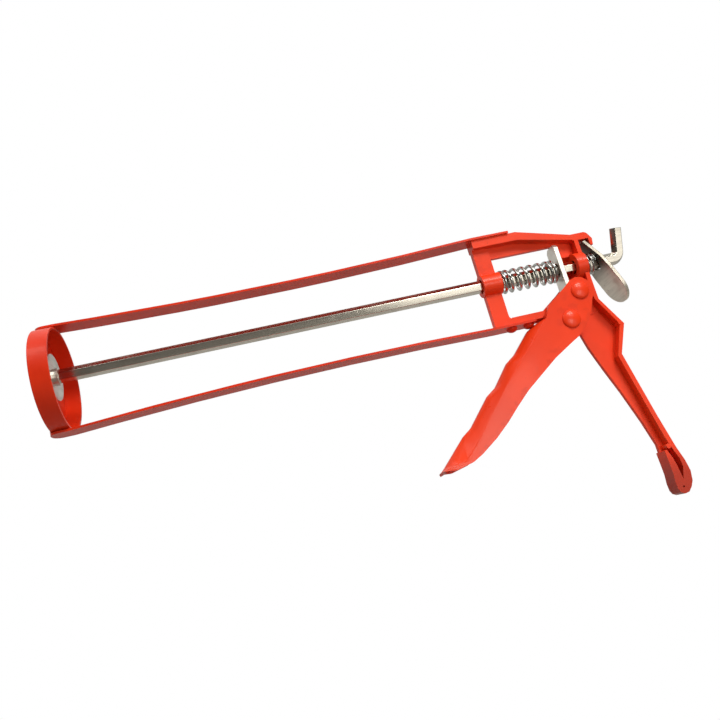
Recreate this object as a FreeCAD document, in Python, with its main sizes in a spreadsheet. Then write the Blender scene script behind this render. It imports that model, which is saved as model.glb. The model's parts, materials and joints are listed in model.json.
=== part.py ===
import FreeCAD, Part
import math
import os

import Sketcher
from FreeCAD import Placement, Rotation, Vector

# Open-frame caulking gun. +X runs back along the push rod, +Z is up, and the
# origin is the centre of the nozzle hole. Heights marked "rod" are measured
# from the rod's axis, which lies rod_rise above the origin.

SIZES = {
    # front ring
    "band_radius": 27.2,
    "band_thick": 1.2,
    "band_depth": 9.5,
    "plate_thick": 1.2,
    "nozzle_radius": 10.5,
    "rod_rise": 2.0,
    # straps
    "strap_width": 12.0,
    "strap_thick": 1.2,
    "strap_sag": 2.7,
    "strap_lip": 3.4,
    "strap_corner": 5.0,
    "strap_half": 26.2,
    "top_strap_end": 258.4,
    "bottom_strap_end": 258.0,
    # strap rivets
    "rivet_front": 245.4,
    "rivet_rear": 255.2,
    "rivet_radius": 1.9,
    "rivet_head": 3.1,
    "rivet_dome": 2.2,
    "rivet_grip": 3.6,
    # casting, heights from the rod
    "casting_half": 4.75,
    "web_near": 0.5,
    "web_far": 3.0,
    "strut_front": 236.3,
    "strut_back": 245.6,
    "strut_near": 1.2,
    "flange_bend": 262.7,
    "flange_thick": 4.8,
    "flange_thin": 3.2,
    "rail_top": -22.4,
    "window_top": 15.0,
    "window_corner": 2.6,
    "window_back": 284.3,
    "shoulder_x": 293.6,
    "shoulder_z": 18.0,
    "nose_x": 305.7,
    "nose_tip": 9.6,
    "nose_wall": 2.4,
    "slot_front": 297.2,
    "slot_top": 14.0,
    "rib_thick": 2.4,
    "panel_depth": 0.7,
    "pin_bay_top": -9.5,
    "pin_bay_back": 291.0,
    "elbow_x": 306.6,
    "elbow_z": -39.2,
    "waist_x": 299.3,
    "waist_z": -55.6,
    "grip_end": -135.0,
    # bosses
    "front_boss_radius": 6.3,
    "front_boss_front": 235.6,
    "front_boss_back": 246.6,
    "rear_boss_radius": 7.6,
    "rear_boss_front": 291.4,
    "cup_radius": 8.2,
    "cup_hollow": 6.8,
    "bore_radius": 4.0,
    "lug_radius": 6.5,
    "lug_half": 6.1,
    # push rod
    "rod_flats": 6.35,
    "rod_front": 1.4,
    "rod_roll": 17.5,
    "hook_start": 315.5,
    "hook_bend": 4.2,
    "hook_angle": 84.4,
    "hook_height": 17.0,
    # push plate
    "push_front": 2.8,
    "push_radius": 12.3,
    "push_thick": 1.2,
    "push_rim": 2.2,
    "collar_radius": 4.6,
    "collar_length": 3.0,
    "nut_radius": 4.4,
    # trigger
    "pivot_x": 276.6,
    "pivot_z": -31.2,
    "drive_x": 286.7,
    "drive_z": -16.2,
    "channel_half": 7.75,
    "channel_wall": 1.4,
    "pivot_shank": 2.9,
    "pivot_gap": 0.08,
    "drive_shank": 1.6,
    "sleeve_radius": 2.3,
    "head_radius": 5.1,
    "head_dome": 2.0,
    # drive plate
    "drive_front": 281.2,
    "drive_thick": 2.8,
    "drive_half": 5.4,
    "drive_top": 14.2,
    "drive_bottom": -19.0,
    # release plate
    "release_x": 300.4,
    "release_z": 13.0,
    "release_tilt": 20.8,
    "release_thick": 2.0,
    "release_length": 41.2,
    "release_half": 10.0,
    "release_neck": 4.2,
    "release_slot": 3.9,
    # springs
    "spring_wire": 1.7,
    "spring_radius": 5.9,
    "spring_turns": 7.25,
    "release_wire": 1.2,
    "release_coil": 5.6,
    "release_turns": 2.25,
}

# how far a quarter circle stands out from its chord, for a radius of one
QUARTER_SAGITTA = 1 - math.sqrt(0.5)

doc = FreeCAD.newDocument("caulking_gun")
sheet = doc.addObject("Spreadsheet::Sheet", "Sizes")
for row, (alias, value) in enumerate(SIZES.items(), start=1):
    sheet.set(f"A{row}", alias)
    sheet.set(f"B{row}", str(value))
    sheet.setAlias(f"B{row}", alias)
doc.recompute()


class Term:
    """A number with the spreadsheet expression that it came from."""

    def __init__(self, value, text):
        self.value = float(value)
        self.text = text

    def join(self, other, sign, value):
        return Term(value, f"({self.text} {sign} {term(other).text})")

    def __add__(self, other):
        return self.join(other, "+", self.value + term(other).value)

    def __sub__(self, other):
        return self.join(other, "-", self.value - term(other).value)

    def __mul__(self, other):
        return self.join(other, "*", self.value * term(other).value)

    def __truediv__(self, other):
        return self.join(other, "/", self.value / term(other).value)

    def __neg__(self):
        return self * -1

    def root(self):
        return Term(math.sqrt(self.value), f"sqrt({self.text})")


def term(value):
    """A plain number as a term; a term stays as it is."""
    return value if isinstance(value, Term) else Term(value, f"({float(value):.4f})")


def size(alias):
    """The sheet's value under an alias."""
    return Term(sheet.get(alias), f"Sizes.{alias}")


def new_body(label, raised=True, rolled=False):
    """A body under its node name, lifted to the rod's axis unless told not to,
    and rolled about it if the piece turns with the rod."""
    body = doc.addObject("PartDesign::Body", label)
    body.Label = label
    if rolled:
        body.Placement = Placement(Vector(0, 0, 0), Rotation(Vector(1, 0, 0), SIZES["rod_roll"]))
    if raised:
        body.setExpression("Placement.Base.z", "Sizes.rod_rise")
    return body


def origin_plane(body, role):
    """One of the body's own origin planes."""
    return next(item for item in body.Origin.OriginFeatures if item.Role == role)


def new_sketch(body, name, role, offset=0):
    """A sketch on an origin plane, moved along the plane's normal."""
    sketch = body.newObject("Sketcher::SketchObject", name)
    sketch.AttachmentSupport = [(origin_plane(body, role), "")]
    sketch.MapMode = "FlatFace"
    shift = term(offset)
    sketch.AttachmentOffset = Placement(Vector(0, 0, shift.value), Rotation())
    sketch.setExpression("AttachmentOffset.Base.z", shift.text)
    return sketch


def bind(sketch, kind, places, value):
    """A dimension of the sketch that follows a term."""
    number = sketch.addConstraint(Sketcher.Constraint(kind, *places, value.value))
    name = f"{kind}{number}"
    sketch.renameConstraint(number, name)
    sketch.setExpression(f"Constraints.{name}", value.text)


def outline(sketch, corners):
    """A closed outline. A corner is (x, y) or (x, y, sagitta): with a sagitta
    the side to the next corner is an arc that bulges to the left of travel."""
    points = [(term(corner[0]), term(corner[1])) for corner in corners]
    sagittas = [term(corner[2]) if len(corner) > 2 else None for corner in corners]
    first = sketch.GeometryCount
    arcs = []
    for index, ((x_a, y_a), sagitta) in enumerate(zip(points, sagittas)):
        x_b, y_b = points[(index + 1) % len(points)]
        start = Vector(x_a.value, y_a.value, 0)
        end = Vector(x_b.value, y_b.value, 0)
        if sagitta is None:
            sketch.addGeometry(Part.LineSegment(start, end), False)
            arcs.append(None)
            continue
        chord = end - start
        left = Vector(-chord.y, chord.x, 0).normalize()
        middle = (start + end) * 0.5 + left * sagitta.value
        curve = Part.Arc(start, middle, end)
        sketch.addGeometry(curve, False)
        arcs.append(sagitta.value)
    count = len(points)
    for index in range(count):
        here = first + index
        after = first + (index + 1) % count
        # an arc is stored anticlockwise, so one that bulges left runs backwards
        end_of_side = 1 if arcs[index] is not None and arcs[index] > 0 else 2
        following = arcs[(index + 1) % count]
        start_of_next = 2 if following is not None and following > 0 else 1
        sketch.addConstraint(
            Sketcher.Constraint("Coincident", here, end_of_side, after, start_of_next)
        )
    for index, (x, y) in enumerate(points):
        start_point = 2 if arcs[index] is not None and arcs[index] > 0 else 1
        place = (-1, 1, first + index, start_point)
        bind(sketch, "DistanceX", place, x)
        bind(sketch, "DistanceY", place, y)
        if arcs[index] is not None:
            x_b, y_b = points[(index + 1) % count]
            half_squared = ((x_b - x) * (x_b - x) + (y_b - y) * (y_b - y)) / 4
            rise = sagittas[index] if arcs[index] > 0 else -sagittas[index]
            bind(sketch, "Radius", (first + index,), (half_squared + rise * rise) / (rise * 2))


def circle(sketch, x, y, radius):
    """A circle whose centre and radius follow the sheet."""
    x, y, radius = term(x), term(y), term(radius)
    number = sketch.GeometryCount
    centre = Vector(x.value, y.value, 0)
    sketch.addGeometry(Part.Circle(centre, Vector(0, 0, 1), radius.value), False)
    bind(sketch, "DistanceX", (-1, 1, number, 3), x)
    bind(sketch, "DistanceY", (-1, 1, number, 3), y)
    bind(sketch, "Radius", (number,), radius)


def hexagon(sketch, flats):
    """A hexagon about the rod's axis with a corner towards the hook."""
    half = term(flats) / 2
    corner = half * (2 / math.sqrt(3))
    step = corner / 2
    outline(
        sketch,
        [(0, corner), (-half, step), (-half, -step), (0, -corner), (half, -step), (half, step)],
    )


def pad(body, sketch, length, middle=False, back=False):
    """Material along the sketch's normal."""
    feature = body.newObject("PartDesign::Pad", sketch.Name + "_pad")
    feature.Profile = sketch
    feature.setExpression("Length", term(length).text)
    feature.Midplane = middle
    feature.Reversed = back
    return feature


def cut(body, sketch, length, middle=False, back=False):
    """A pocket; without back it cuts against the sketch's normal."""
    feature = body.newObject("PartDesign::Pocket", sketch.Name + "_cut")
    feature.Profile = sketch
    feature.setExpression("Length", term(length).text)
    feature.Midplane = middle
    feature.Reversed = back
    return feature


def side_edges(shape, places):
    """Names of the edges that run across the gun through the given points."""
    names = []
    for number, edge in enumerate(shape.Edges, start=1):
        start, end = edge.firstVertex().Point, edge.lastVertex().Point
        across = abs(start.x - end.x) < 1e-4 and abs(start.z - end.z) < 1e-4
        near = any(math.hypot(start.x - x, start.z - z) < 0.3 for x, z in places)
        if across and near:
            names.append(f"Edge{number}")
    return names


def round_corners(body, name, places, radius):
    """Round the corners of a side outline at the given points."""
    doc.recompute()
    base = body.Tip
    moved = [(x.value, z.value) for x, z in ((term(a), term(b)) for a, b in places)]
    feature = body.newObject("PartDesign::Fillet", name)
    feature.Base = (base, side_edges(base.Shape, moved))
    feature.Radius = radius
    return feature


def build_front_band():
    """Rolled steel band with the cartridge's front end inside it."""
    body = new_body("front_band", raised=False)
    sketch = new_sketch(body, "band_section", "YZ_Plane")
    circle(sketch, 0, 0, size("band_radius"))
    circle(sketch, 0, 0, size("band_radius") - size("band_thick"))
    pad(body, sketch, size("band_depth"))
    return body


def build_front_plate():
    """Disc welded into the band's front edge, with the nozzle hole."""
    body = new_body("front_plate", raised=False)
    sketch = new_sketch(body, "plate_section", "YZ_Plane")
    circle(sketch, 0, 0, size("band_radius") - size("band_thick"))
    circle(sketch, 0, 0, size("nozzle_radius"))
    pad(body, sketch, size("plate_thick"))
    return body


def build_strap(label, side, end):
    """A strap from a lip over the band's edge to the casting, bowed inwards.
    side is +1 for the top strap and -1 for the bottom one."""
    body = new_body(label, raised=False)
    sketch = new_sketch(body, label + "_side", "XZ_Plane")
    thick = size("strap_thick") * side
    inner_front = size("band_radius") * side
    inner_back = size("strap_half") * side + size("rod_rise")
    sag = size("strap_sag")
    lip_end = (size("band_radius") - size("strap_lip")) * side
    outer_sag = -sag if side > 0 else sag
    inner_sag = sag if side > 0 else -sag
    outline(
        sketch,
        [
            (-size("strap_thick"), lip_end),
            (-size("strap_thick"), inner_front + thick),
            (size("band_depth"), inner_front + thick, outer_sag),
            (size("strut_front"), inner_back + thick),
            (size(end), inner_back + thick),
            (size(end), inner_back),
            (size("strut_front"), inner_back, inner_sag),
            (size("band_depth"), inner_front),
            (0, inner_front),
            (0, lip_end),
        ],
    )
    pad(body, sketch, size("strap_width"), middle=True)
    holes = new_sketch(body, label + "_holes", "XY_Plane")
    for place in ("rivet_front", "rivet_rear"):
        circle(holes, size(place), 0, size("rivet_radius"))
    cut(body, holes, 4 * SIZES["band_radius"], middle=True)
    corner, half = size("strap_corner"), size("strap_width") / 2
    tip = -size("strap_thick") - 1.0
    for name, hand in (("near", -1), ("far", 1)):
        trim = new_sketch(body, f"{label}_{name}_corner", "XY_Plane")
        edge = tip + corner + 1.0
        outline(
            trim,
            [
                (tip, (half - corner) * hand),
                (tip + 1.0, (half - corner) * hand, corner * QUARTER_SAGITTA * hand),
                (edge, half * hand),
                (edge, (half + 1.0) * hand),
                (tip, (half + 1.0) * hand),
            ],
        )
        cut(body, trim, 4 * SIZES["band_radius"], middle=True)
    return body


def dome(sketch, base, radius, shank, start, height):
    """Half section of a rivet about the sketch's vertical axis: a shank from
    start up to base, then a head with a short edge under a spherical cap."""
    edge = height * 0.2
    rise = height - edge
    chord_squared = radius * radius + rise * rise
    sphere = chord_squared / (rise * 2)
    sagitta = sphere - (sphere * sphere - chord_squared / 4).root()
    outline(
        sketch,
        [
            (0, start),
            (shank, start),
            (shank, base),
            (radius, base),
            (radius, base + edge, -sagitta),
            (0, base + height),
        ],
    )


def revolve(body, sketch):
    """A full turn about the sketch's vertical axis."""
    feature = body.newObject("PartDesign::Revolution", sketch.Name + "_turn")
    feature.Profile = sketch
    feature.ReferenceAxis = (sketch, ["V_Axis"])
    feature.Angle = 360
    return feature


def build_strap_rivet(label, place, side):
    """A domed rivet through a strap into the casting's flange."""
    body = new_body(label)
    sketch = new_sketch(body, label + "_half", "XZ_Plane")
    outer = size("strap_half") + size("strap_thick")
    start = size("strap_half") - size("rivet_grip")
    dome(sketch, outer, size("rivet_head"), size("rivet_radius"), start, size("rivet_dome"))
    revolve(body, sketch)
    body.setExpression("Placement.Base.x", f"Sizes.{place}")
    if side < 0:
        body.Placement = Placement(Vector(0, 0, 0), Rotation(Vector(1, 0, 0), 180))
        body.setExpression("Placement.Base.x", f"Sizes.{place}")
        body.setExpression("Placement.Base.z", "Sizes.rod_rise")
    return body


def build_handle_casting():
    """The die-cast handle: a thin web with ribs along its edges, a solid front
    strut, two bosses for the rod, a pivot lug and the fixed grip."""
    body = new_body("handle_casting")
    full = size("casting_half") * 2
    top = size("strap_half")
    front, back = size("strut_front"), size("strut_back")
    nose_front = size("nose_x") - size("nose_wall")
    grip_end = [
        (303.6, -111.4),
        (303.8, -117.7),
        (303.9, -123.4),
        (303.4, -128.1),
        (303.6, -132.0),
        (304.6, -134.0),
        (306.6, size("grip_end")),
        (309.0, size("grip_end") + 0.4),
        (311.2, -132.4),
        (312.9, -129.4),
        (313.7, -124.4),
        (312.8, -118.5),
        (310.6, -111.2),
    ]

    web = new_sketch(body, "web", "XZ_Plane", -size("web_far"))
    outline(
        web,
        [
            (front, -top),
            (262.5, -top),
            (268.0, -35.5),
            (277.0, -38.4),
            (282.6, -37.6),
            (284.8, -47.3),
            (289.4, -61.3),
            (294.4, -75.3),
            (300.0, -93.2),
            (303.6, -107.0),
            *grip_end,
            (size("waist_x") + 7.2, size("waist_z") - 37.0),
            (size("waist_x"), size("waist_z")),
            (size("elbow_x"), size("elbow_z")),
            (size("slot_front"), -22.4),
            (size("slot_front"), size("slot_top")),
            (nose_front, size("slot_top")),
            (nose_front + 0.4, size("nose_tip")),
            (size("nose_x") - 0.6, size("nose_tip")),
            (size("nose_x"), size("shoulder_z") - 4.6),
            (size("nose_x") - 2.6, size("shoulder_z")),
            (size("shoulder_x"), size("shoulder_z")),
            (size("flange_bend"), top),
            (front, top),
        ],
    )
    pad(body, web, size("web_far") - size("web_near"))

    strut = new_sketch(body, "strut", "XZ_Plane", -size("web_far"))
    corner = size("window_corner")
    corner_sagitta = corner * QUARTER_SAGITTA
    outline(
        strut,
        [
            (front, -top),
            (back + corner, -top),
            (back + corner, size("rail_top"), corner_sagitta),
            (back, size("rail_top") + corner),
            (back, top),
            (front, top),
        ],
    )
    pad(body, strut, size("web_far") + size("strut_near"))

    flange = new_sketch(body, "flange", "XZ_Plane")
    thick, thin = size("flange_thick"), size("flange_thin")
    outline(
        flange,
        [
            (front, top),
            (front, top - thick),
            (size("flange_bend"), top - thick),
            (size("shoulder_x"), size("shoulder_z") - thin),
            (size("slot_front") - size("rib_thick"), size("slot_top")),
            (nose_front, size("slot_top")),
            (nose_front + 0.4, size("nose_tip")),
            (size("nose_x") - 0.6, size("nose_tip")),
            (size("nose_x"), size("shoulder_z") - 4.6),
            (size("nose_x") - 2.6, size("shoulder_z")),
            (size("shoulder_x"), size("shoulder_z")),
            (size("flange_bend"), top),
        ],
    )
    pad(body, flange, full, middle=True)

    rib = new_sketch(body, "rear_rib", "XZ_Plane")
    rib_x = size("rib_thick")
    outline(
        rib,
        [
            (size("slot_front"), size("slot_top") + 1.0),
            (size("slot_front") - rib_x, size("slot_top") + 1.0),
            (size("slot_front") - rib_x, -21.8),
            (size("elbow_x") - rib_x * 1.05, size("elbow_z") + 0.3),
            (size("waist_x") - rib_x * 1.02, size("waist_z") - 0.6),
            (306.2, -104.0),
            (308.4, -111.6),
            (310.2, -117.0),
            (310.5, -121.4),
            (308.4, -127.6),
            (307.6, -120.8),
            (306.6, -115.6),
            (304.9, -111.0),
            *grip_end,
            (size("waist_x") + 7.2, size("waist_z") - 37.0),
            (size("waist_x"), size("waist_z")),
            (size("elbow_x"), size("elbow_z")),
            (size("slot_front"), -22.4),
        ],
    )
    pad(body, rib, full, middle=True)

    rail = new_sketch(body, "rail", "XZ_Plane")
    rail_top = size("rail_top")
    outline(rail, [(front, -top), (262.5, -top), (266.5, rail_top), (back, rail_top)])
    pad(body, rail, full, middle=True)

    lug = new_sketch(body, "pivot_lug", "XZ_Plane")
    circle(lug, size("pivot_x"), size("pivot_z"), size("lug_radius"))
    pad(body, lug, size("lug_half") * 2, middle=True)

    window = new_sketch(body, "window", "XZ_Plane")
    outline(
        window,
        [
            (back + corner, rail_top, corner_sagitta),
            (back, rail_top + corner),
            (back, size("window_top")),
            (size("window_back"), size("window_top")),
            (size("window_back"), size("pin_bay_top")),
            (size("pin_bay_back"), size("pin_bay_top") - 2.0),
            (size("pin_bay_back"), rail_top),
        ],
    )
    cut(body, window, full * 2, middle=True)
    round_corners(body, "nose_corner", [(size("nose_x") - 2.6, size("shoulder_z"))], 3.0)

    panel = new_sketch(body, "panel", "XZ_Plane", -size("web_near"))
    outline(
        panel,
        [(291.4, -29.0), (284.3, -38.3), (297.4, -53.4), (303.4, -39.5), (297.6, -28.0)],
    )
    cut(body, panel, size("panel_depth"))

    for number, (mark_x, mark_z) in enumerate(((304.6, -38.4), (306.6, -109.4)), start=1):
        mark = new_sketch(body, f"ejector_mark_{number}", "XZ_Plane")
        circle(mark, mark_x, mark_z, 1.3)
        pad(body, mark, full + 0.4, middle=True)

    boss_front = size("front_boss_front")
    pit = new_sketch(body, "grip_pit", "XZ_Plane", size("casting_half"))
    circle(pit, 307.0, -131.4, 0.6)
    cut(body, pit, 0.8)

    front_boss = new_sketch(body, "front_boss", "YZ_Plane", boss_front)
    circle(front_boss, 0, 0, size("front_boss_radius"))
    pad(body, front_boss, size("front_boss_back") - boss_front)

    rear_boss = new_sketch(body, "rear_boss", "YZ_Plane", size("rear_boss_front"))
    circle(rear_boss, 0, 0, size("rear_boss_radius"))
    pad(body, rear_boss, size("slot_front") + 0.2 - size("rear_boss_front"))

    cup = new_sketch(body, "rear_cup", "YZ_Plane", size("window_back") + 0.2)
    cup_radius = size("cup_radius")
    quarter = cup_radius * -QUARTER_SAGITTA
    outline(cup, [(0, cup_radius), (0, -cup_radius, quarter), (cup_radius, 0, quarter)])
    pad(body, cup, size("rear_boss_front") - size("window_back"))

    hollow = new_sketch(body, "rear_hollow", "YZ_Plane", size("window_back") - 1.0)
    circle(hollow, 0, 0, size("cup_hollow"))
    cut(body, hollow, size("rear_boss_front") - size("window_back") + 1.0, back=True)

    bore = new_sketch(body, "rod_bore", "YZ_Plane", boss_front - 1.0)
    circle(bore, 0, 0, size("bore_radius"))
    cut(body, bore, size("slot_front") - boss_front + 3.0, back=True)

    pivot = new_sketch(body, "pivot_bore", "XZ_Plane")
    circle(pivot, size("pivot_x"), size("pivot_z"), size("pivot_shank") + size("pivot_gap"))
    cut(body, pivot, full * 2, middle=True)

    for name, sign in (("top", 1), ("bottom", -1)):
        level = new_sketch(body, name + "_rivet_holes", "XY_Plane", (top - size("rivet_grip")) * sign)
        for place in ("rivet_front", "rivet_rear"):
            circle(level, size(place), 0, size("rivet_radius"))
        cut(body, level, size("flange_thick"), back=sign > 0)
    return body


def build_push_rod():
    """Hexagonal bar with its rear end bent up as a pull hook."""
    body = new_body("push_rod", rolled=True)
    section = new_sketch(body, "rod_section", "YZ_Plane", size("rod_front"))
    hexagon(section, size("rod_flats"))
    path = new_sketch(body, "rod_path", "XZ_Plane")
    start = size("rod_front")
    bend = size("hook_start")
    radius = size("hook_bend")
    turn = math.radians(SIZES["hook_angle"])
    centre = Vector(bend.value, radius.value, 0)
    leg = Vector(math.cos(turn), math.sin(turn), 0)
    foot = centre + Vector(math.sin(turn), -math.cos(turn), 0) * radius.value
    tip = foot + leg * ((SIZES["hook_height"] - foot.y) / leg.y)
    path.addGeometry(Part.LineSegment(Vector(start.value, 0, 0), Vector(bend.value, 0, 0)), False)
    arc = Part.ArcOfCircle(
        Part.Circle(centre, Vector(0, 0, 1), radius.value), -math.pi / 2, turn - math.pi / 2
    )
    path.addGeometry(arc, False)
    path.addGeometry(Part.LineSegment(foot, tip), False)
    path.addConstraint(Sketcher.Constraint("PointOnObject", 0, 1, -1))
    path.addConstraint(Sketcher.Constraint("Horizontal", 0))
    path.addConstraint(Sketcher.Constraint("Tangent", 0, 2, 1, 1))
    path.addConstraint(Sketcher.Constraint("Tangent", 1, 2, 2, 1))
    bind(path, "DistanceX", (-1, 1, 0, 1), start)
    bind(path, "DistanceX", (-1, 1, 0, 2), bend)
    bind(path, "Radius", (1,), radius)
    bind(path, "DistanceY", (-1, 1, 2, 2), size("hook_height"))
    number = path.addConstraint(Sketcher.Constraint("Angle", 2, turn))
    path.renameConstraint(number, "lean")
    path.setExpression("Constraints.lean", "Sizes.hook_angle * 1 deg")
    pipe = body.newObject("PartDesign::AdditivePipe", "rod_sweep")
    pipe.Profile = section
    pipe.Spine = path
    return body


def build_push_plate():
    """Dished plate on the rod's front end, with its rim turned back."""
    body = new_body("push_plate", rolled=True)
    face = new_sketch(body, "push_face", "YZ_Plane", size("push_front"))
    circle(face, 0, 0, size("push_radius"))
    hexagon(face, size("rod_flats"))
    pad(body, face, size("push_thick"))
    rim = new_sketch(body, "push_rim", "YZ_Plane", size("push_front"))
    circle(rim, 0, 0, size("push_radius"))
    circle(rim, 0, 0, size("push_radius") - size("push_thick"))
    pad(body, rim, size("push_rim"))
    return body


def build_collar(label, front, length, radius):
    """A ring on the rod: the collar behind the push plate or its end nut."""
    body = new_body(label, rolled=True)
    sketch = new_sketch(body, label + "_section", "YZ_Plane", front)
    circle(sketch, 0, 0, radius)
    hexagon(sketch, size("rod_flats"))
    pad(body, sketch, length)
    return body


def build_trigger():
    """Pressed channel: two lens-shaped walls over the casting, joined in front
    by a web with finger grooves, and a flared tip."""
    body = new_body("trigger")
    skin = new_sketch(body, "trigger_side", "XZ_Plane")
    outline(
        skin,
        [
            (187.5, -91.7),
            (201.6, -78.2, -0.5),
            (207.3, -74.6),
            (220.6, -60.4, -0.5),
            (226.5, -56.5),
            (236.2, -45.4, -0.5),
            (242.0, -41.5),
            (253.2, -30.4),
            (262.8, -27.6),
            (279.4, -12.2, 4.6),
            (291.9, -14.8, 0.4),
            (292.0, -22.5, 2.2),
            (277.7, -41.3, -3.1),
            (221.3, -80.9, -0.9),
            (201.5, -93.1),
            (192.0, -95.6),
            (185.5, -94.2),
        ],
    )
    pad(body, skin, size("channel_half") * 2, middle=True)
    inside = new_sketch(body, "trigger_inside", "XZ_Plane")
    outline(
        inside,
        [
            (197.0, -86.5),
            (203.0, -79.2),
            (208.6, -75.6),
            (221.8, -61.6),
            (227.8, -57.4),
            (237.4, -46.6),
            (243.3, -42.4),
            (254.6, -31.4),
            (254.6, -5.0),
            (305.0, -5.0),
            (305.0, -60.0),
            (225.0, -105.0),
            (203.0, -95.0),
        ],
    )
    cut(body, inside, (size("channel_half") - size("channel_wall")) * 2, middle=True)
    holes = new_sketch(body, "trigger_holes", "XZ_Plane")
    circle(holes, size("pivot_x"), size("pivot_z"), size("pivot_shank"))
    circle(holes, size("drive_x"), size("drive_z"), size("drive_shank"))
    cut(body, holes, size("channel_half") * 4, middle=True)
    return body


def build_trigger_rivet(label, centre_x, centre_z, shank):
    """A rivet across the channel with a domed head on each side."""
    body = new_body(label)
    bar = new_sketch(body, label + "_shank", "XZ_Plane")
    circle(bar, size(centre_x), size(centre_z), size(shank))
    pad(body, bar, size("channel_half") * 2, middle=True)
    for name, sign in (("near", 1), ("far", -1)):
        flat = size("head_dome") * 0.45
        low = new_sketch(body, f"{label}_{name}_rim", "XZ_Plane", size("channel_half") * sign)
        circle(low, size(centre_x), size(centre_z), size("head_radius"))
        pad(body, low, flat, back=sign < 0)
        level = (size("channel_half") + flat) * sign
        high = new_sketch(body, f"{label}_{name}_crown", "XZ_Plane", level)
        circle(high, size(centre_x), size(centre_z), size("head_radius"))
        crown = pad(body, high, size("head_dome") - flat, back=sign < 0)
        crown.TaperAngle = -55
    return body


def build_drive_sleeve():
    """Spacer tube on the drive rivet between the channel's walls."""
    body = new_body("drive_sleeve")
    sketch = new_sketch(body, "sleeve_ring", "XZ_Plane")
    circle(sketch, size("drive_x"), size("drive_z"), size("sleeve_radius"))
    circle(sketch, size("drive_x"), size("drive_z"), size("drive_shank"))
    pad(body, sketch, (size("channel_half") - size("channel_wall")) * 2, middle=True)
    return body


def build_drive_plate():
    """Thick plate with a loose round hole that grips the rod when it tilts."""
    body = new_body("drive_plate")
    sketch = new_sketch(body, "drive_outline", "YZ_Plane", size("drive_front"))
    half, top, bottom = size("drive_half"), size("drive_top"), size("drive_bottom")
    chamfer = 2.0
    outline(
        sketch,
        [
            (-half, bottom + chamfer),
            (-half, top - chamfer),
            (-half + chamfer, top),
            (half - chamfer, top),
            (half, top - chamfer),
            (half, bottom + chamfer),
            (half - chamfer, bottom),
            (-half + chamfer, bottom),
        ],
    )
    circle(sketch, 0, 0, size("bore_radius"))
    pad(body, sketch, size("drive_thick"))
    return body


def build_release_plate():
    """Spoon-shaped thumb plate, hung by its narrow end in the casting's nose
    and leaning back over the rod. Its outline is drawn from the hinge down."""
    body = new_body("release_plate", raised=False)
    sketch = new_sketch(body, "release_outline", "YZ_Plane", -size("release_thick") / 2)
    neck, half = size("release_neck"), size("release_half")
    tip = -size("release_length")
    shoulder = tip + half
    outline(
        sketch,
        [
            (-neck, 0),
            (neck, 0),
            (half - 1.0, -12.8),
            (half, -21.0),
            (half, shoulder, half * QUARTER_SAGITTA),
            (0, tip, half * QUARTER_SAGITTA),
            (-half, shoulder),
            (-half, -21.0),
            (-half + 1.0, -12.8),
        ],
    )
    slot_half = size("release_slot")
    quarter = slot_half * -QUARTER_SAGITTA
    centre = -(size("release_z") / math.cos(math.radians(SIZES["release_tilt"])))
    slot_up, slot_down = centre + 4.9, centre - 4.6
    outline(
        sketch,
        [
            (slot_half, slot_down + slot_half),
            (slot_half, slot_up - slot_half, quarter),
            (0, slot_up, quarter),
            (-slot_half, slot_up - slot_half),
            (-slot_half, slot_down + slot_half, quarter),
            (0, slot_down, quarter),
        ],
    )
    pad(body, sketch, size("release_thick"))
    body.Placement = Placement(
        Vector(0, 0, 0), Rotation(Vector(0, 1, 0), -SIZES["release_tilt"])
    )
    body.setExpression("Placement.Base.x", "Sizes.release_x")
    body.setExpression("Placement.Base.z", "Sizes.release_z + Sizes.rod_rise")
    return body


def build_main_spring():
    """Round wire wound about the rod between the front boss and the drive plate."""
    body = new_body("main_spring")
    wire = size("spring_wire")
    start = size("front_boss_back") + 0.1
    section = new_sketch(body, "wire_section", "XZ_Plane")
    circle(section, start + wire / 2, size("spring_radius"), wire / 2)
    helix = body.newObject("PartDesign::AdditiveHelix", "main_coil")
    helix.Profile = section
    helix.ReferenceAxis = (section, ["H_Axis"])
    helix.Mode = "height-turns-angle"
    helix.setExpression("Height", (size("drive_front") - 0.1 - start - wire).text)
    helix.setExpression("Turns", "Sizes.spring_turns")
    return body


def build_release_spring():
    """Spring between the rear boss and the leaning release plate: its coils
    stand closer together at the top, where the plate is nearer."""
    wire, coil = SIZES["release_wire"], SIZES["release_coil"]
    tilt = math.radians(SIZES["release_tilt"])
    start = SIZES["slot_front"] + 0.3 + wire / 2
    face = SIZES["release_x"] - SIZES["release_thick"] / 2 / math.cos(tilt) - 0.2
    steps = 24
    count = round(SIZES["release_turns"] * steps)
    points = []
    for step in range(count + 1):
        angle = 2 * math.pi * step / steps
        height = coil * math.cos(angle)
        reach = face + (SIZES["release_z"] - height - wire / 2) * math.tan(tilt) - wire / 2
        along = start + (reach - start) * step / count
        points.append(Vector(along, coil * math.sin(angle), height))
    curve = Part.BSplineCurve()
    curve.interpolate(points)
    path = Part.Wire([curve.toShape()])
    profile = Part.Wire([Part.makeCircle(wire / 2, points[0], curve.tangent(0.0)[0])])
    spring = doc.addObject("Part::Feature", "release_spring")
    spring.Label = "release_spring"
    spring.Shape = path.makePipeShell([profile], True, False)
    spring.Placement = Placement(Vector(0, 0, SIZES["rod_rise"]), Rotation())
    return spring


def check(parts):
    """Stop if any object failed or any sub-part has no valid solid."""
    for item in doc.Objects:
        if "Invalid" in item.State or "Error" in item.State:
            raise SystemExit(f"{item.Label} failed: {item.State}")
    for part in parts:
        shape = part.Shape
        if shape.isNull() or not shape.isValid() or not shape.Solids:
            raise SystemExit(f"{part.Label} has no valid solid")
        print(f"{part.Label:20s} {shape.Volume:10.1f} mm3 {len(shape.Solids)} solid")


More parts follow.
